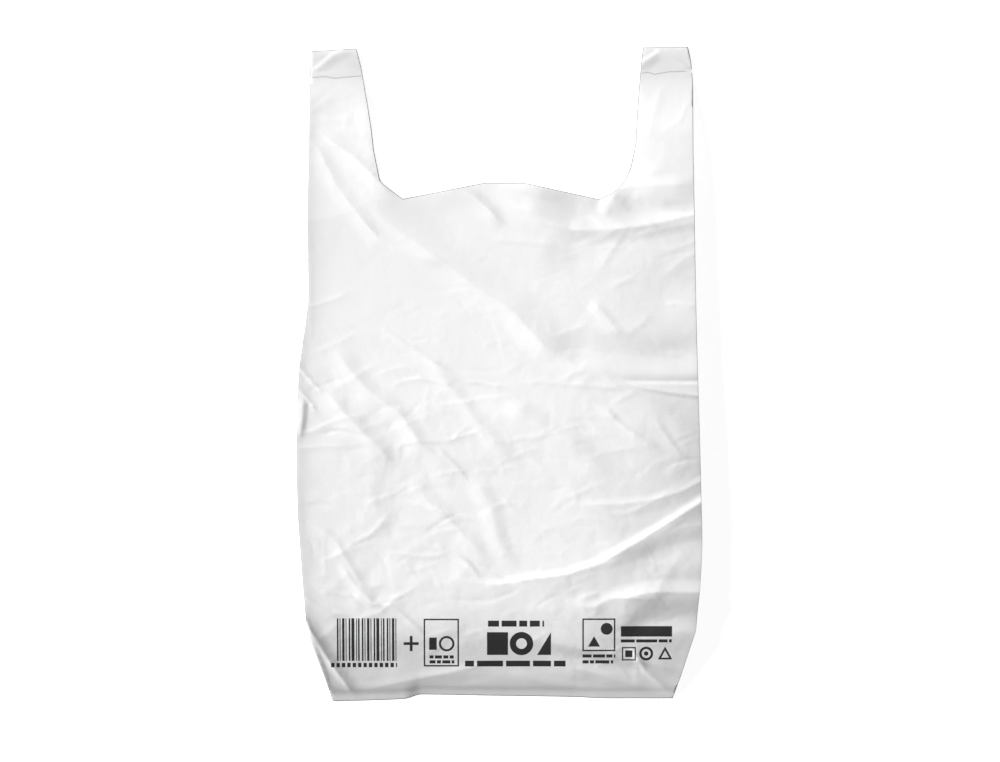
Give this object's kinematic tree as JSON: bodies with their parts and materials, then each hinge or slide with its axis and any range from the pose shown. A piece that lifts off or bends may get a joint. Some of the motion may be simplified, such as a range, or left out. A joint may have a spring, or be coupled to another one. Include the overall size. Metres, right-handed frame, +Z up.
{
  "type": "plastic carrier bag",
  "caption": "Thin white plastic carrier bag with two loop handles, gusseted sides and a welded bottom, lying flat on its back and slightly puffed.",
  "frame": {"origin": "centre of the bounding box in X and Y, on the surface that the bag's back lies on", "axes": "+X across the bag to the right as seen from above, +Y from the bottom weld to the handles, +Z up out of the printed front panel"},
  "size_m": [0.328, 0.53, 0.0315],
  "materials": {
    "film": "semi-gloss white blown polyethylene film"
  },
  "bodies": {
    "root": {"carrier_bag": "film"}
  },
  "joints": []
}
